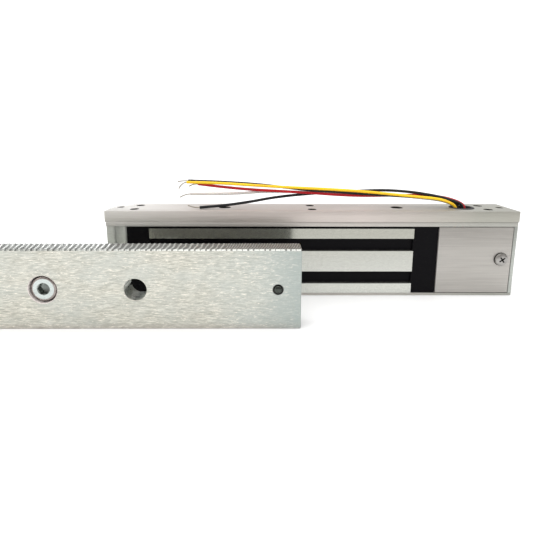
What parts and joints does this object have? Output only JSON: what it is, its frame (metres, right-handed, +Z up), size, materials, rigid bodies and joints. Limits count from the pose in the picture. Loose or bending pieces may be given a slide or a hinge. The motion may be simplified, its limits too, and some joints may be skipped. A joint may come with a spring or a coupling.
{
  "type": "magnetic door lock",
  "caption": "Surface-mounted magnetic door lock: electromagnet on its header plate with connecting leads, and a separate steel armature plate on a rubber-cushioned bolt.",
  "frame": {"origin": "middle of the header plate's top face, the face that is screwed up under the door frame", "axes": "+X along the lock towards its wiring compartment, +Y from the pole faces to the back of the housing, +Z up through the header plate"},
  "size_m": [0.3194, 0.0658, 0.0638],
  "materials": {
    "header_alu": "satin extruded",
    "housing_alu": "satin extruded",
    "end_alu": "satin",
    "cover_alu": "brushed",
    "black_steel": "black oxide",
    "pole_steel": "ground and plated",
    "bobbin_plastic": "moulded",
    "winding_copper": "enamelled copper wire",
    "potting_epoxy": "cast, slightly glossy",
    "wall_plastic": "moulded",
    "board_green": "solder mask",
    "small_steel": "zinc plated",
    "relay_plastic": "moulded",
    "terminal_plastic": "moulded",
    "varistor_ceramic": "epoxy dipped",
    "sensor_plastic": "moulded",
    "coil_lead_pvc": "insulation",
    "inner_lead_pvc": "insulation",
    "grommet_rubber": "moulded",
    "yellow_pvc": "insulation",
    "black_pvc": "insulation",
    "red_pvc": "insulation",
    "white_pvc": "insulation",
    "tinned_copper": "tinned strands",
    "cover_screw_steel": "plated",
    "washer_rubber": "moulded",
    "bolt_steel": "zinc plated",
    "washer_zinc": "zinc plated",
    "plate_zinc": "zinc plated, brushed",
    "pin_steel": "ground",
    "ejector_steel": "ground",
    "spring_steel": "drawn wire",
    "plug_brass": "turned"
  },
  "bodies": {
    "magnet": {"header_plate": "header_alu", "housing": "housing_alu", "left_end_block": "end_alu", "right_end_block": "end_alu", "fixing_screws": "black_steel", "core_laminations": "pole_steel", "coil_bobbin": "bobbin_plastic", "coil_winding": "winding_copper", "epoxy_potting": "potting_epoxy", "compartment_wall": "wall_plastic", "circuit_board": "board_green", "board_screws": "small_steel", "relay": "relay_plastic", "terminal_block": "terminal_plastic", "varistor": "varistor_ceramic", "bond_sensor": "sensor_plastic", "coil_leads": "coil_lead_pvc", "inner_leads": "inner_lead_pvc", "cable_grommet": "grommet_rubber", "lead_yellow": "yellow_pvc", "lead_black_upper": "black_pvc", "lead_red": "red_pvc", "lead_white": "white_pvc", "lead_black_lower": "black_pvc", "strands_yellow": "tinned_copper", "strands_black_upper": "tinned_copper", "strands_red": "tinned_copper", "strands_white": "tinned_copper", "strands_black_lower": "tinned_copper"},
    "cover": {"cover_plate": "cover_alu", "cover_screw": "cover_screw_steel"},
    "washer": {"rubber_washer": "washer_rubber"},
    "door_fixing": {"armature_bolt": "bolt_steel", "outer_washer": "washer_zinc"},
    "armature": {"armature_plate": "plate_zinc", "inner_washer": "washer_zinc", "guide_pins": "pin_steel", "ejector_plugs": "plug_brass", "ejector_spring_left": "spring_steel", "ejector_spring_right": "spring_steel"},
    "pin_left": {"ejector_pin_left": "ejector_steel"},
    "pin_right": {"ejector_pin_right": "ejector_steel"}
  },
  "joints": [
    {"name": "cover_lift", "type": "slide", "parent": "magnet", "child": "cover", "axis": [0, -1, 0], "range_m": [0, 0.02]},
    {"name": "armature_carry", "type": "slide", "parent": "magnet", "child": "washer", "axis": [-0.9941, -0.1089, 0], "range_m": [-0.09094, 0]},
    {"name": "armature_turn", "type": "hinge", "parent": "washer", "child": "door_fixing", "pos_m": [-0.12865, -0.038, -0.02925], "axis": [1, 0, 0], "range_deg": [-180, 0], "deforming": ["rubber_washer"]},
    {"name": "armature_tilt", "type": "hinge", "parent": "door_fixing", "child": "armature", "pos_m": [-0.12865, -0.038, -0.02925], "axis": [1, 0, 0], "range_deg": [-2, 2], "stiffness_Nm_per_rad": 8, "deforming": ["rubber_washer"]},
    {"name": "ejector_left", "type": "slide", "parent": "armature", "child": "pin_left", "axis": [0, -1, 0], "range_m": [-0.0008, 0], "stiffness_N_per_m": 100, "springref_m": 0.006, "deforming": ["ejector_spring_left"]},
    {"name": "ejector_right", "type": "slide", "parent": "armature", "child": "pin_right", "axis": [0, -1, 0], "range_m": [-0.0008, 0], "stiffness_N_per_m": 100, "springref_m": 0.006, "deforming": ["ejector_spring_right"]}
  ]
}
